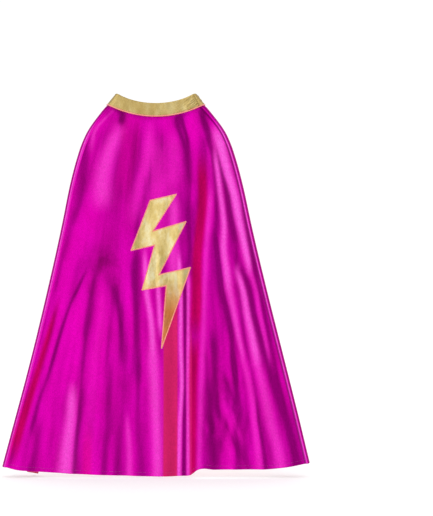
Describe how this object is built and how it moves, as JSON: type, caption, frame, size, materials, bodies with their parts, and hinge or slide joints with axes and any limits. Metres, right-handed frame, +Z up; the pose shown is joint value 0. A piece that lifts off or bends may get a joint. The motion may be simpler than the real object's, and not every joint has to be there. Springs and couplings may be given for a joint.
{
  "type": "costume cape",
  "caption": "Child's flared costume cape with a stiff band collar, a lapped neck closure and a lightning bolt patch on the back.",
  "frame": {"origin": "middle of the neck opening, at the height of the neck seam's lowest point", "axes": "+Z up from the hem towards the collar, +Y from the wearer's back towards the front closure, +X to the right seen from behind"},
  "size_m": [0.5636, 0.0544, 0.704],
  "materials": {
    "shell_foil": "metallic foil-printed knit, magenta",
    "lining_satin": "satin, raspberry",
    "collar_gold": "metallic coated cloth, gold, lightly crackled",
    "stiffener_felt": "non-woven interfacing, off-white",
    "gold_thread": "polyester thread, gold",
    "piping_satin": "satin piping, coral pink",
    "pink_thread": "polyester thread, magenta",
    "bolt_gold": "metallic coated cloth, pale gold",
    "bond_web": "fusible web, white",
    "border_thread": "satin-stitched embroidery thread, peach",
    "hook_tape": "nylon hook tape, off-white",
    "loop_tape": "nylon loop tape, off-white",
    "label_cotton": "blank woven label, white"
  },
  "bodies": {
    "root": {"bolt_bond_web": "bond_web", "bolt_border_stitching": "border_thread", "bolt_face": "bolt_gold", "collar_facing_back": "collar_gold", "collar_fold_left": "collar_gold", "collar_fold_right": "collar_gold", "collar_outer_back": "collar_gold", "collar_stiffener_back": "stiffener_felt", "collar_stitching_back": "gold_thread", "hem_stitching_back": "pink_thread", "lining_back": "lining_satin", "lining_fold_left": "lining_satin", "lining_fold_right": "lining_satin", "neck_label": "label_cotton", "piping_back": "piping_satin", "shell_back": "shell_foil", "shell_fold_left": "shell_foil", "shell_fold_right": "shell_foil"},
    "left_front": {"collar_facing_left": "collar_gold", "collar_outer_left": "collar_gold", "collar_stiffener_left": "stiffener_felt", "collar_stitching_left": "gold_thread", "front_edge_stitching_left": "pink_thread", "hem_stitching_left": "pink_thread", "lining_front_left": "lining_satin", "piping_left": "piping_satin", "shell_front_left": "shell_foil", "tab_root": "collar_gold", "tab_root_stitching": "gold_thread"},
    "right_front": {"collar_facing_right": "collar_gold", "collar_outer_right": "collar_gold", "collar_stiffener_right": "stiffener_felt", "collar_stitching_right": "gold_thread", "front_edge_stitching_right": "pink_thread", "hem_stitching_right": "pink_thread", "lining_front_right": "lining_satin", "loop_tape": "loop_tape", "piping_right": "piping_satin", "shell_front_right": "shell_foil"},
    "closure_tab": {"hook_tape": "hook_tape", "tab_facing": "collar_gold", "tab_outer": "collar_gold", "tab_stitching": "gold_thread"}
  },
  "joints": [
    {"name": "left_front_open", "type": "hinge", "parent": "root", "child": "left_front", "pos_m": [-0.0935, 0, 0.022], "axis": [0.2815, 0, 0.9596], "range_deg": [0, 90], "deforming": ["shell_fold_left", "lining_fold_left", "collar_fold_left"]},
    {"name": "right_front_open", "type": "hinge", "parent": "root", "child": "right_front", "pos_m": [0.0935, 0, 0.022], "axis": [0.2815, 0, -0.9596], "range_deg": [0, 90], "deforming": ["shell_fold_right", "lining_fold_right", "collar_fold_right"]},
    {"name": "closure_tab_peel", "type": "hinge", "parent": "left_front", "child": "closure_tab", "pos_m": [-0.0019, 0.0224, 0.0128], "axis": [0, 0, 1], "range_deg": [0, 120]}
  ],
  "couplings": [
    {"joint": "right_front_open", "follows": "left_front_open", "ratio": 1}
  ]
}
